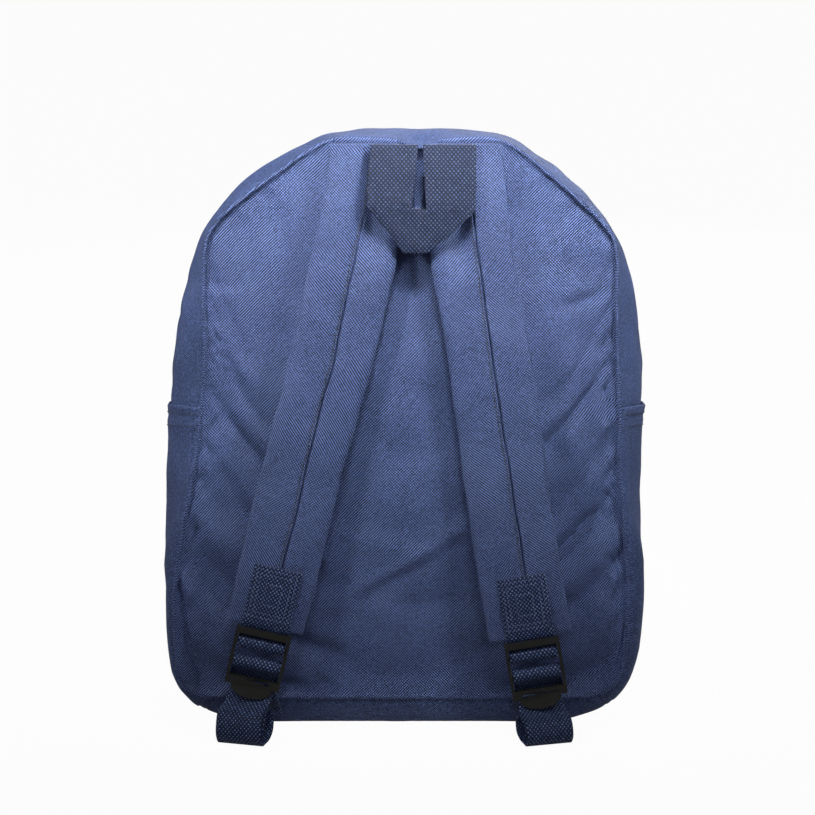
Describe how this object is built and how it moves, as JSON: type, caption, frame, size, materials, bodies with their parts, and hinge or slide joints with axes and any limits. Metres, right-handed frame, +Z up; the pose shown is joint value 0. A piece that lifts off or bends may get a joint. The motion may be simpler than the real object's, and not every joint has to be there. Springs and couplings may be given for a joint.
{
  "type": "school backpack",
  "caption": "Arch-topped soft school backpack with padded shoulder straps on ladder-lock buckles, a folded carry loop, flat side pockets, a zipped mouth and a zipped front pocket.",
  "frame": {"origin": "middle of the base, on the floor", "axes": "+Z up, +Y towards the front pocket, -Y towards the shoulder straps (the wearer's back), +X to the right when facing the strap side"},
  "size_m": [0.3136, 0.199, 0.3774],
  "materials": {
    "navy_cloth": "woven, matt with a slight sheen",
    "navy_webbing": "ribbed webbing",
    "navy_lining": "plain weave",
    "foam": "matt",
    "dark_plastic": "moulded, satin",
    "zip_nylon": "woven tape and coil",
    "zip_metal": "satin"
  },
  "bodies": {
    "buckle_left": {"adjuster_webbing_left": "navy_webbing", "ladder_lock_left": "dark_plastic"},
    "buckle_right": {"adjuster_webbing_right": "navy_webbing", "ladder_lock_right": "dark_plastic"},
    "bag": {"back_foam": "foam", "back_lining": "navy_lining", "back_panel": "navy_cloth", "base_panel": "navy_cloth", "front_panel_lower": "navy_cloth", "front_pocket_gusset": "navy_cloth", "front_pocket_panel": "navy_cloth", "front_pocket_strip": "navy_cloth", "load_webbing_left": "navy_webbing", "load_webbing_right": "navy_webbing", "main_zip_coil_rear": "zip_nylon", "main_zip_tape_rear": "zip_nylon", "pocket_zip_coil": "zip_nylon", "pocket_zip_tape_lower": "zip_nylon", "pocket_zip_tape_upper": "zip_nylon", "side_gusset_left": "navy_cloth", "side_gusset_right": "navy_cloth", "side_pocket_left": "navy_cloth", "side_pocket_right": "navy_cloth", "strap_head_foam_left": "foam", "strap_head_foam_right": "foam", "strap_head_left": "navy_cloth", "strap_head_right": "navy_cloth", "top_gusset_rear": "navy_cloth"},
    "mouth": {"front_panel_upper": "navy_cloth", "main_zip_coil_front": "zip_nylon", "main_zip_tape_front": "zip_nylon", "top_gusset_front": "navy_cloth"},
    "haul_loop": {"haul_loop": "navy_webbing"},
    "main_puller_left": {"main_puller_left": "zip_metal"},
    "main_puller_right": {"main_puller_right": "zip_metal"},
    "main_slider_left": {"main_slider_left": "zip_metal"},
    "main_slider_right": {"main_slider_right": "zip_metal"},
    "pocket_puller": {"pocket_puller": "zip_metal"},
    "pocket_slider": {"pocket_slider": "zip_metal"},
    "strap_left": {"strap_cover_left": "navy_cloth", "strap_foam_left": "foam", "strap_tab_left": "navy_webbing"},
    "strap_right": {"strap_cover_right": "navy_cloth", "strap_foam_right": "foam", "strap_tab_right": "navy_webbing"}
  },
  "joints": [
    {"name": "mouth_hinge", "type": "hinge", "parent": "bag", "child": "mouth", "pos_m": [0, 0.0662, 0.2155], "axis": [-1, 0, 0], "range_deg": [0, 45]},
    {"name": "main_slider_right_run", "type": "hinge", "parent": "mouth", "child": "main_slider_right", "pos_m": [0, 0.012, 0.2155], "axis": [0, 1, 0], "range_deg": [0, 44]},
    {"name": "main_slider_left_run", "type": "hinge", "parent": "mouth", "child": "main_slider_left", "pos_m": [0, 0.012, 0.2155], "axis": [0, -1, 0], "range_deg": [0, 121]},
    {"name": "main_puller_right_turn", "type": "hinge", "parent": "main_slider_right", "child": "main_puller_right", "pos_m": [0.1055, 0.012, 0.32864], "axis": [0, -1, 0], "range_deg": [0, 140]},
    {"name": "main_puller_left_turn", "type": "hinge", "parent": "main_slider_left", "child": "main_puller_left", "pos_m": [0.08762, 0.012, 0.34299], "axis": [0, 1, 0], "range_deg": [0, 140]},
    {"name": "pocket_slider_run", "type": "slide", "parent": "bag", "child": "pocket_slider", "axis": [-1, 0, 0], "range_m": [0, 0.18]},
    {"name": "pocket_puller_turn", "type": "hinge", "parent": "pocket_slider", "child": "pocket_puller", "pos_m": [0.088, 0.0919, 0.178], "axis": [0, 0, -1], "range_deg": [0, 140]},
    {"name": "haul_loop_swing", "type": "hinge", "parent": "bag", "child": "haul_loop", "pos_m": [0.004, -0.0605, 0.3745], "axis": [-1, 0, 0], "range_deg": [0, 150]},
    {"name": "strap_left_swing", "type": "hinge", "parent": "bag", "child": "strap_left", "pos_m": [-0.0341, -0.07835, 0.3], "axis": [-1, 0, 0], "range_deg": [0, 12], "deforming": ["load_webbing_left"]},
    {"name": "ladder_lock_left_tilt", "type": "hinge", "parent": "strap_left", "child": "buckle_left", "pos_m": [-0.09186, -0.0831, 0.06183], "axis": [-0.9735, 0, 0.2286], "range_deg": [0, 5]},
    {"name": "strap_right_swing", "type": "hinge", "parent": "bag", "child": "strap_right", "pos_m": [0.0406, -0.07835, 0.3], "axis": [-1, 0, 0], "range_deg": [0, 12], "deforming": ["load_webbing_right"]},
    {"name": "ladder_lock_right_tilt", "type": "hinge", "parent": "strap_right", "child": "buckle_right", "pos_m": [0.07909, -0.0831, 0.05568], "axis": [-0.9859, 0, -0.1671], "range_deg": [0, 5]}
  ],
  "couplings": [
    {"joint": "main_slider_right_run", "follows": "mouth_hinge", "ratio": 0.97778},
    {"joint": "main_slider_left_run", "follows": "mouth_hinge", "ratio": 2.6889}
  ]
}
